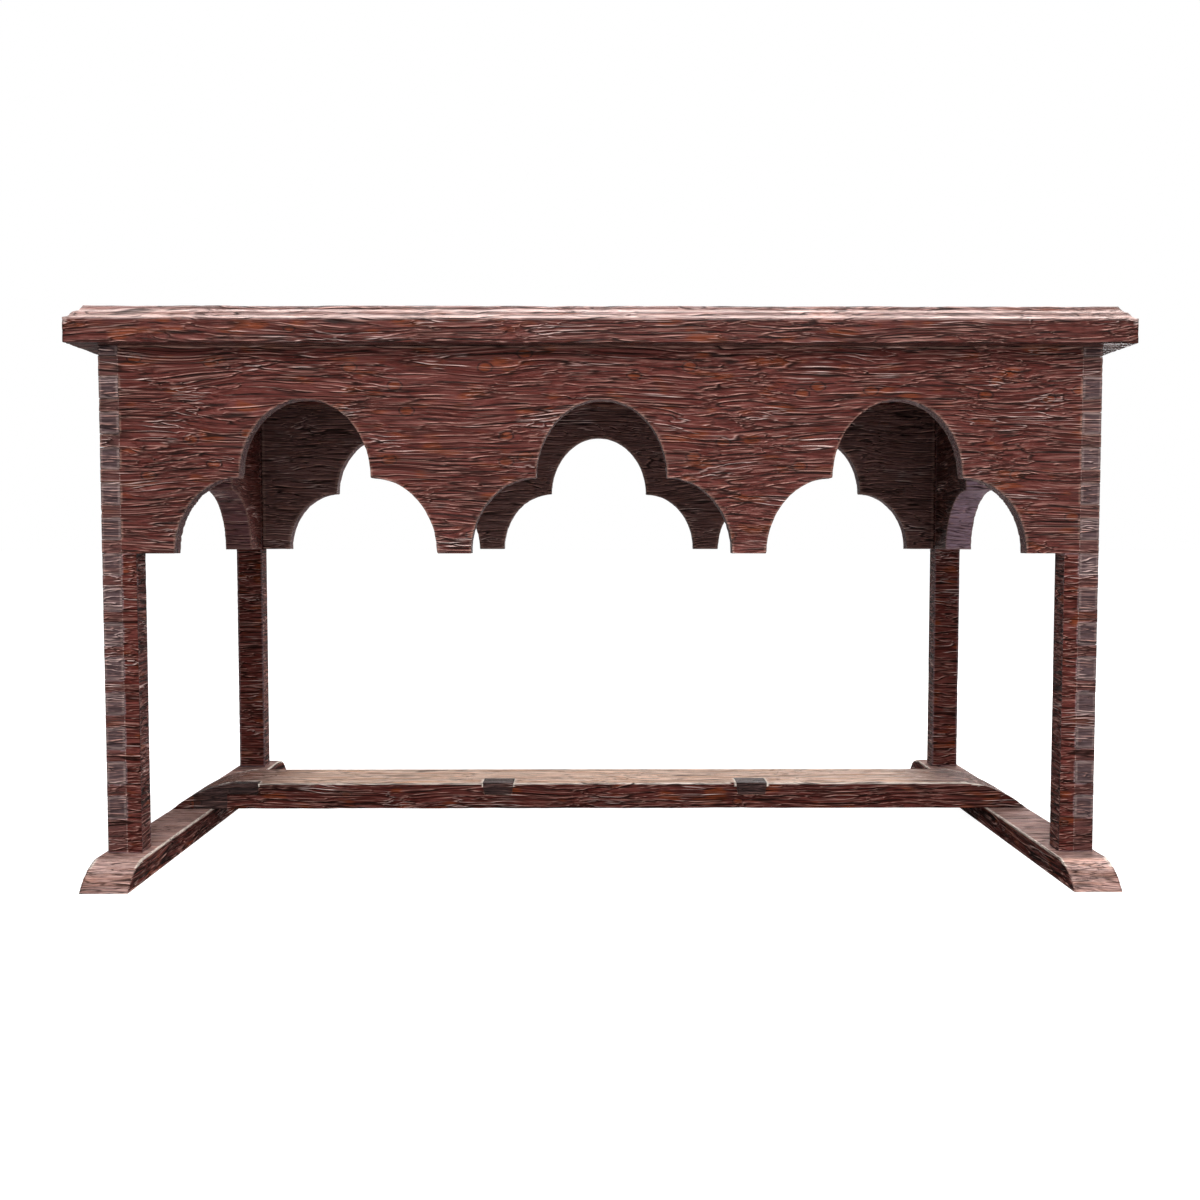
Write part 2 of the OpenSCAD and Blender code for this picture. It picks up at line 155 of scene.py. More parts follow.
def new_material(name: str) -> tuple[bpy.types.Material, Graph]:
    """Return a new material and its empty graph."""
    made = bpy.data.materials.new(name)
    made.use_nodes = True
    return made, Graph(made.node_tree)


@dataclass(frozen=True)
class Column:
    """Band of rough end grain down both ends of a piece, with a pale glue line at its inner edge."""

    inner_edge: float
    inner_depth: float
    line: float = 0.0008
    cover: float = 0.40
    grain_end: Colour = (0.110, 0.062, 0.058)
    glue: Colour = (0.340, 0.235, 0.210)


def corner_column() -> Column:
    """Return the band that carries on the lines of the corner keys."""
    low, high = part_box("front_right_keys")
    return Column(low.x, -high.y)


@dataclass(frozen=True)
class Pattern:
    """Repeats of each pattern in a metre, along and across the grain, and the grooves' width."""

    drift: Pair = (5.0, 17.0)
    gate: Pair = (1 / 0.055, 1 / 0.020)
    spots: Pair = (18.0, 46.0)
    sparks: Pair = (9.0, 34.0)
    streaks: Pair = (5.0, 42.0)
    knots: Pair = (1.0, 1.5)
    groove_width: float = 0.0062


@dataclass(frozen=True)
class WoodFinish:
    """Stain, polish and wear of one kind of wood in the table, with painted shade in its hollows, painted
    highlights on its crests and cracks, and a painted sheen mixed into the wear of its upper faces.
    """

    name: str
    grain: Axis
    side_grain: Axis | None = None
    column: Column | None = None
    soffit_tone_and_light: float = 0.0
    deep: Colour = (0.010, 0.003, 0.002)
    stain: Colour = (0.090, 0.017, 0.013)
    high: Colour = (0.130, 0.034, 0.028)
    ember: Colour = (0.175, 0.036, 0.011)
    # Colour of the painted highlights on grooves, crests and crack lips.
    glint: Colour = (0.560, 0.300, 0.250)
    # Pale colour of worn edges and of upper faces; on the upper faces it is partly wear, partly a painted
    # sheen.
    worn_and_sheen: Colour = (0.620, 0.390, 0.310)
    worn_and_sheen_streak: Colour = (0.70, 0.52, 0.42)
    edge: Colour | None = None
    # Colour of the faces of the arches: partly their own tone, partly painted light.
    soffit: Colour = (0.210, 0.110, 0.120)
    # Colour of the painted light and shade on the faces that look into the frame.
    inner: Colour | None = None
    figure_length: float = 0.110
    figure_width: float = 0.0060
    swing: float = 0.030
    crack_pitch: float = 0.0115
    crack_width: float = 0.0016
    crack_share: float = 0.041
    # Strength of the painted highlight along one side of each crack.
    lip_highlight: float = 0.95
    # Strength of the painted shade and painted highlight on the sides of the fine grooves.
    painted_emboss_shading: float = 0.9
    # Painted highlight: share and colour of sparse near-white glints on the crack lips.
    sparkle: float = 0.65
    spark: Colour = (0.860, 0.660, 0.620)
    knots: float = 12.0
    knot_core: float = 0.095
    knot_edge: float = 0.145
    knot_ring: float = 0.150
    through: bool = False
    pattern: Pattern = Pattern()
    thread_share: float = 0.42
    crack_depth: float = 0.35
    bump_depth: float = 0.010
    bump: float = 1.0
    wear: float = 0.25
    # Share of that pale colour on upper faces: partly wear, partly painted sheen.
    tread_and_sheen: float = 0.15
    streak: float = 0.80
    tread_reach: float | None = None
    rim: Point | None = None
    rim_share: float = 0.16
    rim_fade: float = 0.003
    shine: float = 0.16
    gloss: float = 0.42

    def material(self) -> bpy.types.Material:
        """Build the finish as a node material on Object coordinates.

        Returns:
            The material.
        """
        made, graph = new_material(self.name)
        place = graph.node("ShaderNodeTexCoord").outputs["Object"]
        figure, thread, ridge = self.figure(graph, place)
        crack, lip_highlight = self.cracks(graph, place)
        colour = self.colour(graph, place, figure, thread, crack, lip_highlight)
        height = graph.maths("MULTIPLY_ADD", thread, self.thread_share, ridge)
        height = graph.maths("MULTIPLY_ADD", crack, -self.crack_depth, height)
        bumped = graph.node("ShaderNodeBump", {"Strength": self.bump, "Distance": self.bump_depth,
                                               "Height": height}).outputs[0]
        rough = graph.fade(thread, 0.35, 0.65, self.gloss + 0.16, self.gloss - 0.06)
        shader = graph.node("ShaderNodeBsdfPrincipled", {
            "Base Color": colour, "Roughness": rough, "Normal": bumped,
            "Specular IOR Level": self.shine}).outputs[0]
        graph.node("ShaderNodeOutputMaterial", {"Surface": shader})
        return made

    def stretched(self, graph: Graph, place: Any, along: float, across: float) -> Any:
        """Stretch coordinates along the grain, which may turn on the faces towards the ends.

        Args:
            graph: the nodes.
            place: Object coordinates.
            along: scale along the grain.
            across: scale across the grain.

        Returns:
            The stretched coordinates.
        """
        front = graph.vectors("MULTIPLY", place, self.grain.stretch(along, across))
        if self.side_grain is None:
            return front
        side = graph.vectors("MULTIPLY", place, self.side_grain.stretch(along, across))
        turned = graph.maths("GREATER_THAN", graph.attribute("side"), 0.5)
        return graph.node("ShaderNodeMix", {0: turned, 4: front, 5: side}, data_type="VECTOR").outputs[1]

    def wandering(self, graph: Graph, place: Any, width: float) -> Any:
        """Return coordinates stretched along the grain, which swing slowly from side to side.

        Args:
            graph: the nodes.
            place: Object coordinates.
            width: size of the pattern across the grain.

        Returns:
            The coordinates.
        """
        length = self.figure_length * width / self.figure_width
        sharp = self.stretched(graph, place, 1 / length, 1 / width)
        slow = self.stretched(graph, place, *self.pattern.drift)
        drift = graph.vectors("SUBTRACT", graph.noise(slow, 1.0, output="Color"), (0.5, 0.5, 0.5))
        return graph.vectors("MULTIPLY_ADD", drift, (self.swing / width,) * 3, sharp)

    def figure(self, graph: Graph, place: Any) -> tuple[Any, Any, Any]:
        """Lay out the flowing figure of the wood.

        Args:
            graph: the nodes.
            place: Object coordinates.

        Returns:
            The broad figure, the fine threads and the height of the ridges.
        """
        flow = self.wandering(graph, place, self.figure_width)
        figure = graph.noise(flow, 1.5, 0.5)
        thread = graph.noise(graph.vectors("MULTIPLY", flow, (3.2, 3.2, 3.2)), 3.0, 0.6)
        fold = graph.maths("ABSOLUTE", graph.maths("SUBTRACT", figure, 0.5))
        return figure, thread, graph.times(graph.maths("MINIMUM", fold, 0.14), 1.6)

    def cracks(self, graph: Graph, place: Any) -> tuple[Any, Any]:
        """Draw the fine dark cracks of the wood, and a painted highlight along one side of each.

        Args:
            graph: the nodes.
            place: Object coordinates.

        Returns:
            The darkness of the cracks and the strength of the painted highlight beside them, from 0 to 1.
        """
        gate = graph.noise(self.stretched(graph, place, *self.pattern.gate), 1.5)
        strong = graph.fade(gate, 0.42, 0.60)
        weak = graph.fade(gate, 0.60, 0.44, 0.0, 0.7)
        lines = []
        for spot in (place, self.below(graph, place)):
            wide = self.fold(graph, self.wandering(graph, spot, self.crack_pitch))
            closer = self.wandering(graph, spot, self.crack_pitch * 0.5)
            fine = self.fold(graph, graph.vectors("ADD", closer, (31.0, 17.0, 11.0)))
            lines.append(graph.maths("MAXIMUM", graph.times(wide, strong),
                                     graph.times(fine, weak)))
        crack, shifted = lines
        # Painted highlight: pale where the crack, moved by its width, lies and the crack itself does not.
        lip_highlight = graph.node("ShaderNodeMath", {0: graph.maths("SUBTRACT", shifted, crack), 1: 1.0},
                         operation="MULTIPLY", use_clamp=True).outputs[0]
        return crack, lip_highlight

    def below(self, graph: Graph, place: Any) -> Any:
        """Return places moved by the width of a crack, for the painted highlight and shade at its side."""
        return graph.vectors("ADD", place, (self.crack_width, 0.0, -self.crack_width))

    def groove(self, graph: Graph, place: Any) -> Any:
        """Return how steeply fine grooves fall or rise across the grain, about 0."""
        levels = []
        for spot in (place, self.below(graph, place)):
            flow = self.wandering(graph, spot, self.pattern.groove_width)
            levels.append(graph.noise(flow, 1.5, 0.5))
        return graph.maths("SUBTRACT", *levels)

    def fold(self, graph: Graph, flow: Any) -> Any:
        """Return a thin line wherever a flowing noise passes its middle value."""
        off = graph.maths("ABSOLUTE", graph.maths("SUBTRACT", graph.noise(flow, 1.2), 0.5))
        return graph.fade(off, 0.0, self.crack_share, 1.0, 0.0)

    def colour(self, graph: Graph, place: Any, figure: Any, thread: Any, crack: Any, lip_highlight: Any) -> Any:
        """Colour the wood from its figure and wear, with painted shade in its hollows and grooves, painted
        highlights on its crests, grooves and crack lips, and a painted sheen on its upper faces.

        Args:
            graph: the nodes.
            place: Object coordinates.
            figure: the broad figure.
            thread: the fine threads.
            crack: the cracks.
            lip_highlight: the painted highlight along one side of the cracks.

        Returns:
            The colour socket.
        """
        colour = graph.blend(graph.fade(figure, 0.36, 0.66), self.stain, self.high)
        spots = graph.noise(self.stretched(graph, place, *self.pattern.spots), 1.0)
        colour = graph.blend(graph.fade(spots, 0.58, 0.70, 0.0, 0.8), colour, self.ember)
        colour = self.knotted(graph, place, colour, thread)
        colour = graph.blend(graph.fade(thread, 0.50, 0.36, 0.0, 0.45), colour, self.deep)
        # Painted shade and painted highlight: the sides of fine grooves are darkened where they fall and
        # brightened with the glint colour where they rise, as if lit from above.
        fine = self.groove(graph, place)
        colour = graph.blend(graph.fade(fine, -0.01, -0.13, 0.0, self.painted_emboss_shading), colour, self.deep)
        bright = graph.fade(fine, 0.04, 0.20, 0.0, 0.36 * self.painted_emboss_shading)
        colour = graph.blend(bright, colour, self.glint)
        colour = self.painted_inside_light_and_arch_tone(graph, colour, thread)
        if self.column is not None:
            colour = self.banded(graph, place, colour, thread)
        relief = graph.attribute("relief")
        # Painted shade: the hollows of the carved relief are darkened towards the deep colour.
        colour = graph.blend(graph.fade(relief, 0.40, 0.02, 0.0, 0.62), colour, self.deep)
        # Painted highlight: pale glint lines where fine threads cross the relief's crests, and along the
        # crack lips.
        line = graph.times(graph.fade(thread, 0.58, 0.70), graph.fade(relief, 0.35, 0.8))
        line = graph.maths("MAXIMUM", graph.times(line, 0.24),
                           graph.times(lip_highlight, graph.fade(thread, 0.40, 0.58, 0.10, self.lip_highlight)))
        colour = graph.blend(line, colour, self.glint)
        # Painted highlight: sparse near-white glints on the crack lips, in patches.
        patch = graph.noise(self.stretched(graph, place, *self.pattern.sparks), 1.0)
        spark = graph.times(graph.fade(patch, 0.55, 0.66, 0.0, self.sparkle), lip_highlight)
        colour = graph.blend(spark, colour, self.spark)
        colour = self.rubbed_and_sheened(graph, place, colour, figure, thread)
        return graph.blend(graph.times(crack, 0.9), colour, self.deep)

    def knotted(self, graph: Graph, place: Any, colour: Any, thread: Any) -> Any:
        """Scatter small knots over a colour.

        Args:
            graph: the nodes.
            place: Object coordinates.
            colour: the colour under them.
            thread: the fine threads.

        Returns:
            The colour socket.
        """
        spot = self.stretched(graph, place, *self.pattern.knots)
        if self.through:
            parts = graph.parts(spot)
            spot = graph.node("ShaderNodeCombineXYZ", {0: parts[0], 1: parts[2]}).outputs[0]
        eye = graph.node("ShaderNodeTexVoronoi", {"Vector": spot, "Scale": self.knots, "Randomness": 1.0},
                         voronoi_dimensions="2D" if self.through else "3D")
        eye = graph.maths("ADD", eye.outputs["Distance"], graph.times(thread, 0.06))
        core = graph.fade(eye, self.knot_edge, self.knot_core, 0.0, 0.85)
        colour = graph.blend(core, colour, self.ember)
        ring = graph.maths("ABSOLUTE", graph.maths("SUBTRACT", eye, self.knot_ring))
        return graph.blend(graph.fade(ring, 0.016, 0.004, 0.0, 0.75), colour, self.deep)

    def painted_inside_light_and_arch_tone(self, graph: Graph, colour: Any, thread: Any) -> Any:
        """Paint light and shade on the faces inside the frame, and colour the faces of the arches, partly
        in their own tone and partly in painted light.

        Args:
            graph: the nodes.
            colour: the colour under the tints.
            thread: the fine threads.

        Returns:
            The colour socket.
        """
        # Painted light and shade on faces that look into the frame: paler on the long aprons and the left
        # end apron, near black on the right end apron.
        if self.inner is not None:
            inside = graph.fade(thread, 0.36, 0.60, 0.45, 0.8)
            within = graph.times(graph.attribute("within"), inside)
            colour = graph.blend(within, colour, self.inner)
        # Faces of the arches take the soffit colour: partly their own tone, partly painted light.
        if self.soffit_tone_and_light > 0.0:
            soffit_amount = graph.times(graph.attribute("soffit"), self.soffit_tone_and_light)
            soffit_amount = graph.times(soffit_amount, graph.fade(thread, 0.36, 0.60, 0.5, 1.0))
            colour = graph.blend(soffit_amount, colour, self.soffit)
        return colour

    def rubbed_and_sheened(self, graph: Graph, place: Any, colour: Any, figure: Any, thread: Any) -> Any:
        """Rub the stain off the edges, and pale the upper faces, partly as wear and partly as a painted
        sheen.

        Args:
            graph: the nodes.
            place: Object coordinates.
            colour: the colour under the wear.
            figure: the broad figure.
            thread: the fine threads.

        Returns:
            The colour socket.
        """
        edges = graph.times(graph.attribute("wear"), graph.fade(thread, 0.35, 0.6, 0.4))
        edges = graph.times(edges, self.wear)
        # Upper faces paled towards the worn colour: partly wear, partly a painted sheen of light off the
        # tops.
        trodden_and_sheen = graph.times(graph.attribute("tread_and_sheen"), graph.fade(thread, 0.36, 0.54, 0.48))
        streaks = graph.noise(self.stretched(graph, place, *self.pattern.streaks), 2.0)
        trodden_and_sheen = graph.times(trodden_and_sheen, graph.fade(streaks, 0.40, 0.58, self.streak))
        if self.tread_reach is not None:
            along = graph.parts(place)[0]
            ends = graph.fade(graph.maths("ABSOLUTE", along), self.tread_reach, self.tread_reach + 0.16,
                              1.0, 0.12)
            trodden_and_sheen = graph.times(trodden_and_sheen, ends)
        if self.rim is not None:
            spread = graph.vectors("SUBTRACT", graph.vectors("ABSOLUTE", place), self.rim)
            sides = graph.parts(spread)
            beyond = graph.maths("MAXIMUM", sides[0], sides[1])
            trodden_and_sheen = graph.times(trodden_and_sheen, graph.fade(beyond, 0.0, self.rim_fade,
                                                                  self.rim_share))
        dimmer_worn_and_sheen = tuple(part * share for part, share in zip(self.worn_and_sheen, self.worn_and_sheen_streak))
        bare_and_sheen = graph.blend(graph.fade(figure, 0.36, 0.58), dimmer_worn_and_sheen, self.worn_and_sheen)
        colour = graph.blend(graph.times(trodden_and_sheen, self.tread_and_sheen), colour, bare_and_sheen)
        return graph.blend(edges, colour, self.edge or self.worn_and_sheen)

    def banded(self, graph: Graph, place: Any, colour: Any, thread: Any) -> Any:
        """Lay the end-grain band and its glue line over a colour.

        Args:
            graph: the nodes.
            place: Object coordinates.
            colour: the colour under them.
            thread: the fine threads.

        Returns:
            The colour socket.
        """
        band = self.column
        parts = graph.parts(place)
        from_middle = graph.maths("ABSOLUTE", parts[0])
        outer = graph.fade(graph.maths("ABSOLUTE", parts[1]), band.inner_depth - 0.001,
                           band.inner_depth + 0.001)
        inside = graph.fade(from_middle, band.inner_edge - 0.001, band.inner_edge + 0.001, 0.0, band.cover)
        colour = graph.blend(graph.times(inside, outer), colour, band.grain_end)
        off_line = graph.maths("ABSOLUTE", graph.maths("SUBTRACT", from_middle, band.inner_edge))
        drawn = graph.times(graph.fade(off_line, band.line * 1.4, band.line * 0.5),
                            graph.fade(thread, 0.44, 0.60, 0.0, 0.75))
        return graph.blend(graph.times(drawn, outer), colour, band.glue)


@dataclass(frozen=True)
class SteelFinish:
    """Dull steel of the screws, darkened with age."""

    name: str = "aged_steel"
    bright: Colour = (0.42, 0.41, 0.40)
    tarnish: Colour = (0.11, 0.085, 0.07)

    def material(self) -> bpy.types.Material:
        """Build the finish as a node material on Object coordinates."""
        made, graph = new_material(self.name)
        place = graph.node("ShaderNodeTexCoord").outputs["Object"]
        bloom = graph.noise(place, 5.0, 0.65, 420.0)
        colour = graph.blend(graph.fade(bloom, 0.42, 0.62), self.bright, self.tarnish)
        rough = graph.fade(bloom, 0.35, 0.65, 0.34, 0.62)
        bumped = graph.node("ShaderNodeBump", {"Strength": 0.25, "Distance": 0.0004,
                                               "Height": bloom}).outputs[0]
        shader = graph.node("ShaderNodeBsdfPrincipled", {
            "Base Color": colour, "Roughness": rough, "Normal": bumped, "Metallic": 1.0}).outputs[0]
        graph.node("ShaderNodeOutputMaterial", {"Surface": shader})
        return made


class Lattice:
    """Smooth seeded noise on a repeating cube of numbers."""

    SIDE = 64

    def __init__(self, seed: int) -> None:
        """Draw the numbers, from -1 to 1."""
        self.values = np.random.default_rng(seed).uniform(-1.0, 1.0, (self.SIDE,) * 3)

    def at(self, points: np.ndarray) -> np.ndarray:
        """Return the noise at each point.

        Args:
            points: places, in lattice cells.

        Returns:
            One number from -1 to 1 for each point.
        """
        floor = np.floor(points)
        share = points - floor
        share = share * share * (3.0 - 2.0 * share)
        low = floor.astype(np.int64) % self.SIDE
        high = (low + 1) % self.SIDE
        total = np.zeros(len(points))
        for corner in np.ndindex(2, 2, 2):
            pick = [(high if c else low)[:, i] for i, c in enumerate(corner)]
            part = [share[:, i] if c else 1.0 - share[:, i] for i, c in enumerate(corner)]
            total += self.values[pick[0], pick[1], pick[2]] * part[0] * part[1] * part[2]
        return total


@dataclass(frozen=True)
class Relief:
    """Hewn relief that flows along the grain, pressed into a surface."""

    grain: Axis
    side_grain: Axis | None = None
    depth: float = 0.0020
    chip: float = 0.0010
    ridge_length: float = 0.110
    ridge_width: float = 0.0115
    lean: float = 0.055
    drift_pitch: Pair = (0.12, 0.045)
    busy_pitch: Pair = (0.22, 0.09)
    chip_pitch: Pair = (0.022, 0.006)
    calm: float = 0.35
    calm_ends: float = 0.75
    crest: float = 0.62
    wear_from: float = 0.0
    face: Axis = Axis.Y

    def over(self, points: np.ndarray, side: np.ndarray) -> np.ndarray:
        """Return the height of the relief, with its grain turned on the faces towards the ends.

        Args:
            points: places on the surface.
            side: how far each point's face is turned towards an end of the table, 0 to 1.

        Returns:
            Heights from 0 in the creases to 1 on the crests.
        """
        height = self.height(points)
        if self.side_grain is not None:
            turned = replace(self, grain=self.side_grain, side_grain=None).height(points)
            height = np.where(side > 0.5, turned, height)
        return height

    def height(self, points: np.ndarray) -> np.ndarray:
        """Return the height of the relief at each point.

        Args:
            points: places on the surface.

        Returns:
            Heights from 0 in the creases to 1 on the crests.
        """
        slow, quick = Lattice(3), Lattice(7)
        drift = np.stack([slow.at(points / self.grain.stretch(*self.drift_pitch) + k * 9.1)
                          for k in range(3)], axis=1)
        place = points / self.grain.stretch(self.ridge_length, self.ridge_width)
        place = place + drift * self.grain.stretch(0.3, 1.0)
        slant = points[:, self.grain.value] * self.lean / self.ridge_width
        slant = slant[:, None] * np.array(self.grain.stretch(0.0, 1.0))
        rising, falling = quick.at(place + slant), quick.at(place - slant + 17.0)
        broad = np.minimum(np.abs(rising), np.abs(falling) + 0.12)
        narrow = np.abs(slow.at(place * 1.7 + 5.3))
        fine = quick.at(place * self.grain.stretch(2.5, 3.1) + 1.7)
        relief = 1.5 * broad + 0.5 * narrow + 0.15 * fine
        busy = slow.at(points / self.grain.stretch(*self.busy_pitch) + 31.7)
        strength = self.calm + (1.0 - self.calm) * np.clip(0.6 + busy, 0.0, 1.0)
        shaped = np.clip(relief / 1.05, 0.0, 1.0)
        return 1.0 - (1.0 - shaped) * strength

    def chips(self, points: np.ndarray) -> np.ndarray:
        """Return how deeply a worn edge is chipped at each point, from 0 to 1."""
        return np.clip(Lattice(11).at(points / self.grain.stretch(*self.chip_pitch)), 0.0, 1.0) ** 2


def read_vectors(items: Any, name: str) -> np.ndarray:
    """Return a vector property of every item in a mesh collection as an array."""
    values = np.zeros(len(items) * 3, np.float32)
    items.foreach_get(name, values)
    return values.reshape(-1, 3).astype(float)


def store(mesh: bpy.types.Mesh, name: str, values: np.ndarray) -> None:
    """Keep one number for each vertex of a mesh under a name."""
    layer = mesh.attributes.new(name, "FLOAT", "POINT")
    layer.data.foreach_set("value", values.astype(np.float32))


def edge_wear(mesh: bpy.types.Mesh, flat: float = 0.25, span: float = 0.45) -> np.ndarray:
    """Find the outward edges of a mesh.

    Args:
        mesh: an even skin of small cells.
        flat: turn between neighbouring normals that still counts as flat.
        span: how much more turn makes a sharp edge.

    Returns:
        One number for each vertex, from 0 on flat and hollow places to 1 on sharp edges.
    """
    places = read_vectors(mesh.vertices, "co")
    normals = read_vectors(mesh.vertex_normals, "vector")
    ends = np.zeros(len(mesh.edges) * 2, np.int64)
    mesh.edges.foreach_get("vertices", ends)
    first, second = ends.reshape(-1, 2).T
    turn = normals[second] - normals[first]
    outward = np.sum(turn * (places[second] - places[first]), axis=1) > 0
    bend = np.linalg.norm(turn, axis=1) * outward
    total = np.zeros(len(places))
    for side in (first, second):
        np.maximum.at(total, side, bend)
    return np.clip((total - flat) / span, 0.0, 1.0)


@dataclass(frozen=True)
class Woodworker:
    """Turns solids of the frame into hewn, worn pieces."""

    body: str = "root"
    crispness: float = 0.9
    snap: float = 0.6
    edge_reach: float = 3.0
    inner_gain: float = 4.0
    soffit_gain: float = 1.3

    def skin(self, node: str, name: str, long_cell: float, cell: float, grain: Axis) -> bpy.types.Object:
        """Cover a solid of the frame with an even skin.

        Args:
            node: the solid in the frame.
            name: name of the new piece.
            long_cell: length of a cell along the grain.
            cell: width of a cell across the grain.
            grain: direction of the grain.

        Returns:
            The piece, still bare.
        """
        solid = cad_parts[node].data.copy()
        work = bmesh.new()
        work.from_mesh(solid)
        bmesh.ops.remove_doubles(work, verts=work.verts, dist=1e-6)
        work.to_mesh(solid)
        work.free()
        squeeze = np.array(grain.stretch(cell / long_cell, 1.0))
        places = read_vectors(solid.vertices, "co") * squeeze
        solid.vertices.foreach_set("co", places.ravel().astype(np.float32))
        blank = placed(name + "_blank", solid)
        remesh = blank.modifiers.new("skin", "REMESH")
        remesh.mode = "VOXEL"
        remesh.voxel_size = cell
        remesh.use_smooth_shade = True
        ready = blank.evaluated_get(bpy.context.evaluated_depsgraph_get())
        mesh = bpy.data.meshes.new_from_object(ready)
        mesh.name = name
        places = self.sharpened(mesh, solid, self.edge_reach * cell) / squeeze
        bpy.data.objects.remove(blank)
        low, high = (np.array(corner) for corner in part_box(node))
        places = np.where(places < low + self.snap * cell, low, places)
        places = np.where(places > high - self.snap * cell, high, places)
        mesh.vertices.foreach_set("co", places.ravel().astype(np.float32))
        mesh.update()
        return placed(name, mesh)

    def sharpened(self, mesh: bpy.types.Mesh, solid: bpy.types.Mesh, reach: float) -> np.ndarray:
        """Bring the edges of a skin back out to the solid's own edges.

        Args:
            mesh: the skin.
            solid: the solid under it.
            reach: how far out an edge is looked for.

        Returns:
            The places of the skin's vertices.
        """
        places = read_vectors(mesh.vertices, "co")
        normals = read_vectors(mesh.vertex_normals, "vector")
        surface = BVHTree.FromPolygons([v.co for v in solid.vertices],
                                       [tuple(p.vertices) for p in solid.polygons])
        for index in np.flatnonzero(edge_wear(mesh) > 0.05):
            start, way = Vector(places[index]), Vector(normals[index])
            hit = surface.ray_cast(start - way * 1e-5, way, reach)[0]
            if hit is not None:
                places[index] = start.lerp(hit, self.crispness)
        return places

    def carve(self, piece: bpy.types.Object, relief: Relief) -> None:
        """Press a relief into a piece and wear its edges, inwards only.

        Args:
            piece: the piece.
            relief: the relief.
        """
        mesh = piece.data
        places = read_vectors(mesh.vertices, "co")
        normals = read_vectors(mesh.vertex_normals, "vector")
        side = normals[:, 0] ** 2
        height, wear = relief.over(places, side), edge_wear(mesh)
        depth = relief.depth * (1.0 - relief.calm_ends * np.abs(normals[:, relief.grain.value]) ** 2)
        inward = depth * (relief.crest - height) + relief.chip * wear * relief.chips(places)
        wear = wear * (places[:, 2] > relief.wear_from)
        low, high = places.min(axis=0), places.max(axis=0)
        places = np.clip(places - normals * inward[:, None], low, high)
        mesh.vertices.foreach_set("co", places.ravel().astype(np.float32))
        store(mesh, "relief", height)
        store(mesh, "wear", wear)
        # How far each face points up, for the paler tops: partly wear, partly painted sheen.
        store(mesh, "tread_and_sheen", np.clip(normals[:, 2], 0.0, 1.0) ** 2)
        store(mesh, "side", side)
        # Faces turned from the front, for the arch colour that is partly their own tone, partly painted
        # light.
        turned = 1.0 - normals[:, relief.face.value] ** 2 * self.soffit_gain
        store(mesh, "soffit", np.clip(turned, 0.0, 1.0))
        # How far each face looks into the frame, for its painted light and shade.
        inward_share = -normals[:, :2] @ places[:, :2].mean(axis=0) * self.inner_gain
        store(mesh, "within", np.clip(inward_share, 0.0, 1.0))
        mesh.polygons.foreach_set("use_smooth", np.ones(len(mesh.polygons), bool))
        mesh.update()

    def make(self, node: str, finish: bpy.types.Material, relief: Relief,
             long_cell: float = 0.004, cell: float = 0.002) -> bpy.types.Object:
        """Make the finished piece that stands for one wooden solid.

        Args:
            node: the solid in the frame.
            finish: its material.
            relief: its relief.
            long_cell: length of a cell along the grain.
            cell: width of a cell across the grain.

        Returns:
            The finished piece.
        """
        piece = self.skin(node, node + "_wood", long_cell, cell, relief.side_grain or relief.grain)
        self.carve(piece, relief)
        piece.data.materials.clear()
        piece.data.materials.append(finish)
        self.settle(piece, node)
        return piece

    def settle(self, piece: bpy.types.Object, node: str) -> None:
        """Tie a finished piece to the frame in place of a solid, and report it."""
        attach(piece, self.body)
        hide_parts(node)
        log.info("%s: %d faces", piece.name, len(piece.data.polygons))


@dataclass
class TableTop:
    """Five boards with a moulded edge."""

    boards: tuple[str, ...] = ("top_board_front", "top_board_front_mid", "top_board_middle",
                               "top_board_rear_mid", "top_board_rear")
    moulding: float = 0.019
    worn_height: float = 0.030
    edge_cell: float = 0.0022
    inner_cell: float = 0.0028
    long_cell: float = 0.0042

    def build(self, worker: Woodworker) -> None:
        """Make every board of the top."""
        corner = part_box(self.boards[-1])[1]
        rim = (corner.x - self.moulding, corner.y - self.moulding, 0.0)
        # The moulded rim is paled most: partly wear, partly a painted sheen on the moulding.
        finish = WoodFinish("top_stain", Axis.X, stain=(0.080, 0.015, 0.011), high=(0.120, 0.034, 0.028),
                            wear=0.45, tread_and_sheen=1.0, streak=0.9, worn_and_sheen=(0.980, 0.750, 0.700),
                            worn_and_sheen_streak=(0.88, 0.82, 0.79), rim=rim).material()
        for board in self.boards:
            edged = board in (self.boards[0], self.boards[-1])
            worker.make(board, finish, Relief(Axis.X, wear_from=corner.z - self.worn_height),
                        self.long_cell, self.edge_cell if edged else self.inner_cell)


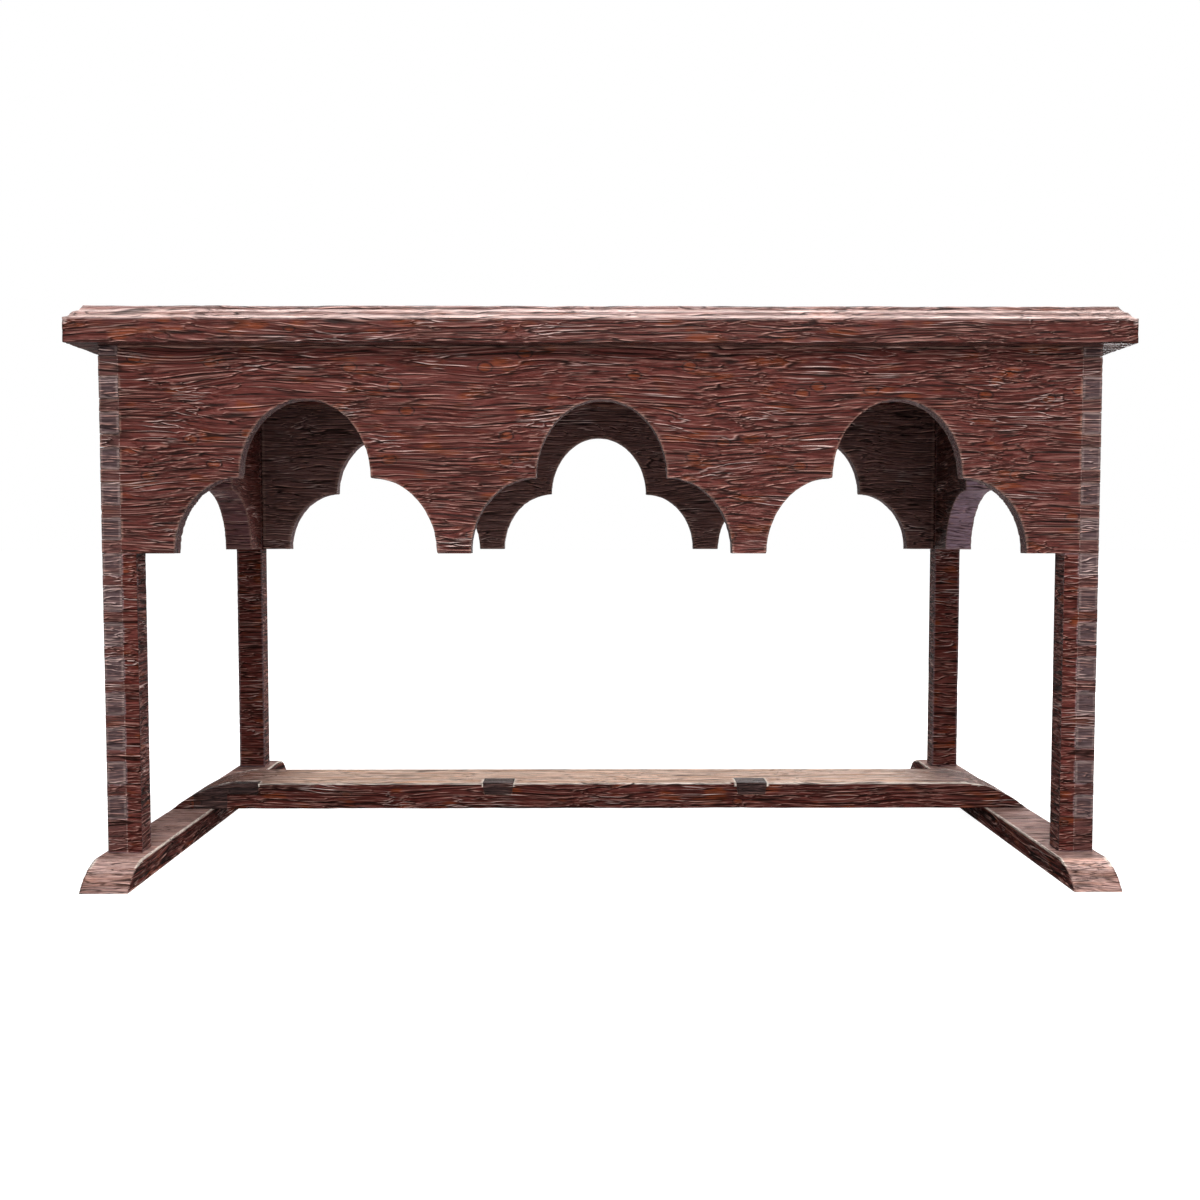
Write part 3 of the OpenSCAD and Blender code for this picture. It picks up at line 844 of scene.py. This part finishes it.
@dataclass
class Aprons:
    """Trefoil-arched aprons on all four sides."""

    long_cell: float = 0.0032
    cell: float = 0.0022

    def build(self, worker: Woodworker) -> None:
        """Make the two long aprons and the two end aprons."""
        column = corner_column()
        # Long aprons: paler, greyer painted light on their inner faces.
        along = WoodFinish("apron_stain", Axis.X, column=column, soffit_tone_and_light=0.75,
                           soffit=(0.120, 0.052, 0.058), inner=(0.150, 0.085, 0.078),
                           knots=8.5, knot_core=0.080, knot_edge=0.115, knot_ring=0.122,
                           through=True).material()
        for node in ("front_apron", "rear_apron"):
            worker.make(node, along, Relief(Axis.X), self.long_cell, self.cell)
        # Left end apron: brighter red painted light on its inner face.
        ends = WoodFinish("end_apron_stain", Axis.X, Axis.Y, soffit_tone_and_light=0.75,
                          soffit=(0.150, 0.070, 0.078), inner=(0.150, 0.032, 0.024))
        # Right end apron: a lit and shaded copy of the end finish, with painted shade near black on its
        # inner face and bright painted light on its arch faces.
        right_end_lit_and_shaded = replace(ends, name="right_end_apron_lit_and_shaded", soffit_tone_and_light=0.9, soffit=(0.420, 0.290, 0.370),
                         inner=(0.030, 0.009, 0.006))
        for node, finish in (("left_end_apron", ends), ("right_end_apron", right_end_lit_and_shaded)):
            worker.make(node, finish.material(), Relief(Axis.X, Axis.Y, face=Axis.X),
                        self.long_cell, self.cell)


@dataclass
class Legs:
    """Four legs, their grain crossed by short level lines."""

    cell: float = 0.0022

    def build(self, worker: Woodworker) -> None:
        """Make the four legs."""
        column = corner_column()
        finish = WoodFinish("leg_stain", Axis.X, Axis.Y, column, figure_length=0.055, swing=0.016,
                            wear=0.3, worn_and_sheen=(0.42, 0.33, 0.36), shine=0.04).material()
        relief = Relief(Axis.X, Axis.Y, depth=0.0012, chip=0.0003, ridge_length=0.05)
        for node in ("front_left_leg", "front_right_leg", "rear_left_leg", "rear_right_leg"):
            worker.make(node, finish, relief, self.cell, self.cell)


@dataclass
class CornerKeys:
    """Dovetail keys down the outer edge of every leg, set out in a row by Geometry Nodes."""

    height: float = 0.031
    part_height: float = 0.014
    first: float = 0.044
    pitch: float = 0.051
    flare: float = 0.0012
    count: int = 13
    rounding: float = 0.0005
    corners: tuple[tuple[str, float], ...] = (("front_left_keys", 1.0), ("front_right_keys", -1.0),
                                              ("rear_left_keys", 1.0), ("rear_right_keys", -1.0))

    def tree(self) -> bpy.types.NodeTree:
        """Build the tree that sets a column of keys.

        Returns:
            A tree with named inputs for the key's sizes, count, pitch, place and material.
        """
        tree = bpy.data.node_groups.new("column_of_keys", "GeometryNodeTree")
        graph = Graph(tree)
        for name, kind in (("Size", "Vector"), ("Rounding", "Float"), ("Flare", "Float"),
                           ("Side", "Float"), ("Count", "Int"), ("First", "Vector"),
                           ("Pitch", "Float"), ("Finish", "Material")):
            tree.interface.new_socket(name, in_out="INPUT", socket_type="NodeSocket" + kind)
        tree.interface.new_socket("Keys", in_out="OUTPUT", socket_type="NodeSocketGeometry")
        given = graph.node("NodeGroupInput").outputs
        block = graph.node("GeometryNodeMeshCube", {"Size": given["Size"], "Vertices X": 13,
                                                    "Vertices Y": 11, "Vertices Z": 14})
        place = graph.node("GeometryNodeInputPosition").outputs[0]
        radius = given["Rounding"]
        half = graph.vectors("SUBTRACT", graph.vectors("MULTIPLY", given["Size"], (0.5, 0.5, 0.5)), radius)
        core = graph.vectors("MINIMUM", place, half)
        core = graph.vectors("MAXIMUM", core, graph.vectors("MULTIPLY", half, (-1.0, -1.0, -1.0)))
        outward = graph.vectors("NORMALIZE", graph.vectors("SUBTRACT", place, core))
        rounded = graph.vectors("MULTIPLY_ADD", outward, radius, core)
        shaped = graph.node("GeometryNodeSetPosition", {"Geometry": block.outputs[0],
                                                        "Position": rounded}).outputs[0]
        parts = graph.parts(place)
        size = graph.parts(given["Size"])
        inward = graph.times(graph.maths("DIVIDE", parts[0], size[0]), given["Side"])
        inward = graph.maths("ADD", inward, 0.5)
        spread = graph.maths("DIVIDE", graph.times(given["Flare"], 2.0), size[2])
        lift = graph.times(graph.times(inward, spread), parts[2])
        offset = graph.node("ShaderNodeCombineXYZ", {2: lift}).outputs[0]
        flared = graph.node("GeometryNodeSetPosition", {"Geometry": shaped, "Offset": offset}).outputs[0]
        step = graph.node("ShaderNodeCombineXYZ", {2: graph.times(given["Pitch"], -1.0)})
        line = graph.node("GeometryNodeMeshLine", {"Count": given["Count"],
                                                   "Start Location": given["First"],
                                                   "Offset": step.outputs[0]}).outputs[0]
        column = graph.node("GeometryNodeInstanceOnPoints", {"Points": line, "Instance": flared}).outputs[0]
        solid = graph.node("GeometryNodeRealizeInstances", {"Geometry": column}).outputs[0]
        dressed = graph.node("GeometryNodeSetMaterial", {"Geometry": solid,
                                                         "Material": given["Finish"]}).outputs[0]
        graph.node("NodeGroupOutput", {0: dressed})
        return tree

    def build(self, worker: Woodworker) -> None:
        """Set the keys into all four corners."""
        finish = WoodFinish("key_end_grain", Axis.X, Axis.Y, stain=(0.058, 0.032, 0.034),
                            high=(0.082, 0.049, 0.052), deep=(0.016, 0.007, 0.008),
                            ember=(0.088, 0.040, 0.036), worn_and_sheen=(0.460, 0.340, 0.310),
                            figure_length=0.060, figure_width=0.0055, swing=0.012,
                            bump=0.6, wear=0.26, tread_and_sheen=0.4, painted_emboss_shading=0.5, knots=30.0).material()
        tree = self.tree()
        for node, side in self.corners:
            low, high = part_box(node)
            length, depth = high.x - low.x, high.y - low.y
            middle = (low.x + high.x) / 2, (low.y + high.y) / 2
            rows = [grown(tree, node + suffix, {
                "Size": (length, depth, height), "Rounding": self.rounding, "Flare": flare,
                "Side": side, "Count": count, "Pitch": self.pitch,
                "First": (*middle, high.z - start - height / 2), "Finish": finish})
                for suffix, height, flare, count, start in (
                    ("_rows", self.height, self.flare, self.count, self.first),
                    ("_part", self.part_height, 0.0, 1, 0.0))]
            piece = joined(node + "_wood", rows, finish)
            worker.carve(piece, Relief(Axis.X, Axis.Y, depth=0.0005, chip=0.0002, ridge_length=0.05,
                                       ridge_width=0.008))
            worker.settle(piece, node)


def grown(tree: bpy.types.NodeTree, name: str, inputs: dict[str, Any]) -> bpy.types.Mesh:
    """Grow a plain mesh from a Geometry Nodes tree.

    Args:
        tree: the tree.
        name: name of the mesh.
        inputs: value of each of the tree's inputs, by its name.

    Returns:
        The mesh, with its instances made real.
    """
    holder = placed(name, bpy.data.meshes.new(name))
    grower = holder.modifiers.new("grow", "NODES")
    grower.node_group = tree
    for socket in tree.interface.items_tree:
        if socket.item_type == "SOCKET" and socket.in_out == "INPUT":
            grower[socket.identifier] = inputs[socket.name]
    ready = holder.evaluated_get(bpy.context.evaluated_depsgraph_get())
    mesh = bpy.data.meshes.new_from_object(ready)
    mesh.name = name
    holder.modifiers.remove(grower)
    bpy.data.objects.remove(holder)
    return mesh


def joined(name: str, meshes: list[bpy.types.Mesh], finish: bpy.types.Material) -> bpy.types.Object:
    """Join meshes into one piece with one finish.

    Args:
        name: name of the piece.
        meshes: the meshes.
        finish: the material of them all.

    Returns:
        The piece.
    """
    work = bmesh.new()
    for mesh in meshes:
        work.from_mesh(mesh)
    whole = bpy.data.meshes.new(name)
    work.to_mesh(whole)
    work.free()
    whole.materials.append(finish)
    whole.polygons.foreach_set("material_index", np.zeros(len(whole.polygons), np.int32))
    return placed(name, whole)


@dataclass
class Cleats:
    """Two cleats that hold the top to the long aprons."""

    long_cell: float = 0.0055
    cell: float = 0.0026

    def build(self, worker: Woodworker) -> None:
        """Make both cleats."""
        finish = WoodFinish("cleat_stain", Axis.X, stain=(0.120, 0.030, 0.022)).material()
        for node in ("front_cleat", "rear_cleat"):
            worker.make(node, finish, Relief(Axis.X, depth=0.0006),
                        self.long_cell, self.cell)


@dataclass
class Base:
    """Two runners and the stretcher between them, with its let-in keys and patches."""

    long_cell: float = 0.0036
    cell: float = 0.0021
    toe_length: float = 0.065
    runner_wear_from: float = 0.8
    stretcher_wear_from: float = 0.92

    def build(self, worker: Woodworker) -> None:
        """Make the runners, the stretcher and what is let into it."""
        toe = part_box("left_runner")[1].y - self.toe_length
        # Runner tops and toes near-white: partly wear, partly a painted sheen.
        runner = WoodFinish("runner_stain", Axis.X, Axis.Y, wear=1.0, tread_and_sheen=1.0, streak=0.72,
                            knots=9.0, worn_and_sheen=(1.000, 0.690, 0.620), worn_and_sheen_streak=(0.84, 0.74, 0.68),
                            edge=(1.0, 0.860, 0.760), rim=(1.0, toe, 0.0), rim_share=0.42,
                            rim_fade=0.02, shine=0.03, gloss=0.62).material()
        low_side = self.runner_wear_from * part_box("left_runner")[1].z
        for node in ("left_runner", "right_runner"):
            worker.make(node, runner, Relief(Axis.X, Axis.Y, depth=0.0011, chip=0.0006, calm_ends=0.0,
                                             wear_from=low_side),
                        self.long_cell, self.cell)
        # Stretcher top near-white between its ends: partly wear, partly a painted sheen.
        stretcher = WoodFinish("stretcher_stain", Axis.X, stain=(0.072, 0.013, 0.010),
                               high=(0.108, 0.027, 0.022), wear=1.0, tread_and_sheen=1.0, tread_reach=0.47,
                               worn_and_sheen=(1.000, 0.740, 0.600), worn_and_sheen_streak=(0.80, 0.64, 0.54),
                               edge=(1.0, 0.880, 0.780), shine=0.06, gloss=0.60).material()
        low_side = self.stretcher_wear_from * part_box("stretcher")[1].z
        worker.make("stretcher", stretcher, Relief(Axis.X, depth=0.0012, chip=0.0007, wear_from=low_side),
                    self.long_cell, self.cell)
        dark = WoodFinish("let_in_stain", Axis.X, deep=(0.006, 0.003, 0.003), stain=(0.034, 0.016, 0.015),
                          high=(0.062, 0.032, 0.030), ember=(0.050, 0.017, 0.012), wear=0.0, tread_and_sheen=0.05,
                          lip_highlight=0.15, painted_emboss_shading=0.35).material()
        for node in ("stretcher_keys", "stretcher_patches"):
            worker.make(node, dark, Relief(Axis.X, depth=0.0006), self.cell, self.cell)


@dataclass
class HiddenJoinery:
    """Tongues, dowels and wedges, which keep their plain solids."""

    grains: tuple[tuple[str, Axis], ...] = (("top_tongues", Axis.X), ("stretcher_dowels", Axis.Z),
                                            ("leg_wedges", Axis.Z))

    def dress(self) -> None:
        """Give each hidden wooden node its own sawn-wood finish."""
        for node, grain in self.grains:
            finish = WoodFinish(node + "_sawn", grain, deep=(0.16, 0.09, 0.05), stain=(0.36, 0.22, 0.13),
                                high=(0.50, 0.34, 0.21), ember=(0.33, 0.18, 0.09), wear=0.0,
                                figure_length=0.03, figure_width=0.003, bump=0.3, gloss=0.6).material()
            dress_node(node, finish)


@dataclass
class Screws:
    """Slotted screws, which keep their own solids."""

    nodes: tuple[str, ...] = ("top_screws", "apron_screws", "stretcher_screws")

    def dress(self) -> None:
        """Give each row of screws its steel."""
        steel = SteelFinish().material()
        for node in self.nodes:
            dress_node(node, steel)


def dress_node(node: str, finish: bpy.types.Material) -> None:
    """Put a finish on a solid of the frame that stays as it is."""
    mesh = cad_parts[node].data
    mesh.materials.clear()
    mesh.materials.append(finish)
    log.info("%s: keeps its solid", node)


@dataclass(frozen=True)
class Softbox:
    """Square soft light, tilted in degrees from pointing straight down and then turned."""

    name: str
    place: Point
    tilt: float
    turn: float
    size: float
    power: float

    def hang(self) -> None:
        """Hang the light in the studio."""
        lamp = bpy.data.lights.new(self.name, "AREA")
        lamp.size = self.size
        lamp.energy = self.power
        hung = placed(self.name, lamp)
        hung.location = self.place
        hung.rotation_euler = (math.radians(self.tilt), 0.0, math.radians(self.turn))
        hung.visible_camera = False


@dataclass
class Studio:
    """Pale floor, soft light and the camera."""

    floor_size: float = 80.0
    bounce: float = 0.42
    paleness: float = 0.94
    dim_side: float = 0.06
    bright_side: float = 0.70
    bright_back: float = 0.60
    softboxes: tuple[Softbox, ...] = (
        Softbox("front_softbox", (-0.1, -3.0, 2.5), 54.0, -2.0, 1.6, 110.0),
        Softbox("low_softbox", (0.4, -3.2, 0.8), 85.0, 7.0, 1.4, 32.0),
        Softbox("rear_softbox", (1.4, 2.1, 1.1), -68.0, -33.0, 1.2, 52.0),
        Softbox("top_softbox", (0.0, 0.2, 3.0), 0.0, 0.0, 2.0, 84.0))
    camera_place: Point = (-0.0145, -2.1039, 0.4976)
    camera_pitch: float = math.radians(87.02)
    camera_turn: float = math.radians(-0.39)
    focal_share: float = 1205 / 1200
    sensor: float = 36.0

    def build(self) -> None:
        """Set up the floor, the lights and the camera."""
        self.build_floor()
        self.build_lights()
        self.build_camera()

    def build_floor(self) -> None:
        """Lay the plain pale floor under the table."""
        mesh = bpy.data.meshes.new("studio_floor")
        half = self.floor_size / 2
        corners = [(-half, -half, 0.0), (half, -half, 0.0), (half, half, 0.0), (-half, half, 0.0)]
        mesh.from_pydata(corners, [], [(0, 1, 2, 3)])
        floor = placed("studio_floor", mesh)
        paint, graph = new_material("studio_floor_paint")
        seen = graph.node("ShaderNodeLightPath").outputs["Is Camera Ray"]
        paper = graph.node("ShaderNodeBsdfDiffuse", {"Color": (self.bounce,) * 3}).outputs[0]
        lift = graph.times(seen, self.paleness)
        glow = graph.node("ShaderNodeEmission", {"Strength": lift}).outputs[0]
        shader = graph.node("ShaderNodeAddShader", {0: paper, 1: glow}).outputs[0]
        graph.node("ShaderNodeOutputMaterial", {"Surface": shader})
        mesh.materials.append(paint)

    def build_lights(self) -> None:
        """Light the table from a white room and four soft lights."""
        world = bpy.data.worlds.new("white_room")
        world.use_nodes = True
        graph = Graph(world.node_tree)
        towards = graph.node("ShaderNodeTexCoord").outputs["Generated"]
        ways = graph.parts(towards)
        fill = graph.fade(ways[0], -0.7, 0.9, self.dim_side, self.bright_side)
        fill = graph.maths("ADD", fill, graph.fade(ways[1], 0.15, 0.95, 0.0, self.bright_back))
        seen = graph.node("ShaderNodeLightPath").outputs["Is Camera Ray"]
        level = graph.node("ShaderNodeMix", {0: seen, 2: fill, 3: 1.0}).outputs[0]
        sky = graph.node("ShaderNodeBackground", {"Color": (1.0, 1.0, 1.0), "Strength": level})
        graph.node("ShaderNodeOutputWorld", {"Surface": sky.outputs[0]})
        bpy.context.scene.world = world
        for softbox in self.softboxes:
            softbox.hang()

    def build_camera(self) -> None:
        """Stand the camera in front of the table, just above the middle of its height."""
        lens = bpy.data.cameras.new("camera")
        lens.sensor_width = self.sensor
        lens.lens = self.sensor * self.focal_share
        lens.clip_end = 50.0
        camera = placed("camera", lens)
        camera.location = self.camera_place
        camera.rotation_euler = (self.camera_pitch, 0.0, self.camera_turn)
        bpy.context.scene.camera = camera
        bpy.context.scene.view_settings.view_transform = "Standard"


def main() -> None:
    """Build the studio and every sub-assembly of the table."""
    logging.basicConfig(level=logging.INFO, format="%(message)s")
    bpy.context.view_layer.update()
    Studio().build()
    worker = Woodworker()
    TableTop().build(worker)
    Aprons().build(worker)
    Legs().build(worker)
    CornerKeys().build(worker)
    Cleats().build(worker)
    Base().build(worker)
    HiddenJoinery().dress()
    Screws().dress()


if __name__ == "__main__":
    main()
